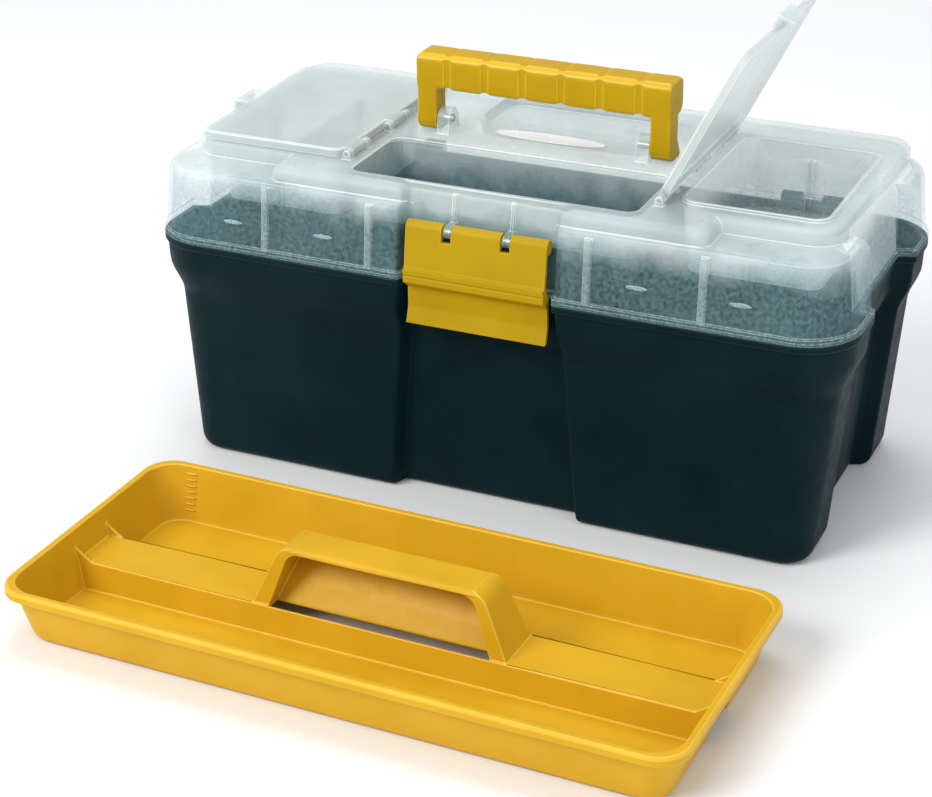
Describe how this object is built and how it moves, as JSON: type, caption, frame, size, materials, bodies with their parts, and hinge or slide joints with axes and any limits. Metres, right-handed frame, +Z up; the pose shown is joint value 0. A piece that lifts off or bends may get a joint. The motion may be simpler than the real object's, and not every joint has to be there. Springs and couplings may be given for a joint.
{
  "type": "toolbox with tray",
  "caption": "Plastic toolbox with a see-through organiser lid, flip-up bin covers, folding carry handle, front latch and a lift-out tray with its own grip.",
  "frame": {"origin": "middle of the tub's flat underside, on the surface the box stands on", "axes": "+Z up, X along the box's length, -Y towards the latch side, where the tray stands"},
  "size_m": [0.48, 0.5063, 0.3272],
  "materials": {
    "tub_green": "satin, fine moulded texture",
    "lid_clear": "milky see-through polypropylene",
    "fitting_yellow": "satin",
    "tray_yellow": "satin",
    "pin_steel": "bright drawn wire",
    "badge_white": "blank, glossy"
  },
  "bodies": {
    "box": {"tub": "tub_green", "lid_hinge_pin_left": "pin_steel", "lid_hinge_pin_right": "pin_steel"},
    "lid": {"lid": "lid_clear", "latch_pin": "pin_steel", "handle_pin_left": "pin_steel", "handle_pin_right": "pin_steel", "flip_lid_pin_left": "pin_steel", "flip_lid_pin_right": "pin_steel", "bin_divider_long": "lid_clear", "bin_divider_cross": "lid_clear", "badge_plate": "badge_white"},
    "latch": {"latch": "fitting_yellow"},
    "handle": {"handle": "fitting_yellow"},
    "cover_left": {"flip_lid_left": "lid_clear"},
    "cover_right": {"flip_lid_right": "lid_clear"},
    "tray": {"tray": "tray_yellow"}
  },
  "joints": [
    {"name": "lid_hinge", "type": "hinge", "parent": "box", "child": "lid", "pos_m": [0, 0.121, 0.158], "axis": [-1, 0, 0], "range_deg": [0, 100]},
    {"name": "latch_hinge", "type": "hinge", "parent": "lid", "child": "latch", "pos_m": [0, -0.10667, 0.193], "axis": [-1, 0, 0], "range_deg": [0, 110]},
    {"name": "handle_hinge", "type": "hinge", "parent": "lid", "child": "handle", "pos_m": [0, 0.0025, 0.227], "axis": [1, 0, 0], "range_deg": [0, 86]},
    {"name": "cover_left_hinge", "type": "hinge", "parent": "lid", "child": "cover_left", "pos_m": [-0.107, 0, 0.2212], "axis": [0, 1, 0], "range_deg": [0, 95]},
    {"name": "cover_right_hinge", "type": "hinge", "parent": "lid", "child": "cover_right", "pos_m": [0.107, 0, 0.2212], "axis": [0, -1, 0], "range_deg": [-63, 32]},
    {"name": "tray_lift", "type": "slide", "parent": "box", "child": "tray", "axis": [0, 0, 1], "range_m": [0, 0.15]}
  ]
}
